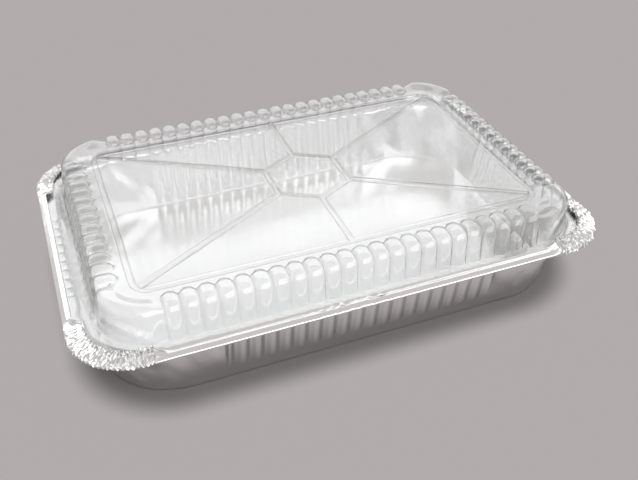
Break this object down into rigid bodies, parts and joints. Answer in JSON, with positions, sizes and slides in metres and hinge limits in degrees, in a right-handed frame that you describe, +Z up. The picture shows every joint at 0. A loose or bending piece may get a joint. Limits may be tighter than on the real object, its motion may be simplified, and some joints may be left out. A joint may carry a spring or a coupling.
{
  "type": "foil tray with lid",
  "caption": "Shallow oblong foil tray with fluted walls and a folded, pleated rim that clamps a clear domed lid with ribbed walls and a channelled top.",
  "frame": {"origin": "middle of the tray's base, on the surface it stands on", "axes": "+X along the long side, +Y across the tray, +Z up out of the tray through the lid"},
  "size_m": [0.316, 0.21, 0.0626],
  "materials": {
    "foil": "bright rolled foil",
    "lid": "clear gloss"
  },
  "bodies": {
    "root": {"foil_tray": "foil", "clear_lid": "lid"}
  },
  "joints": []
}
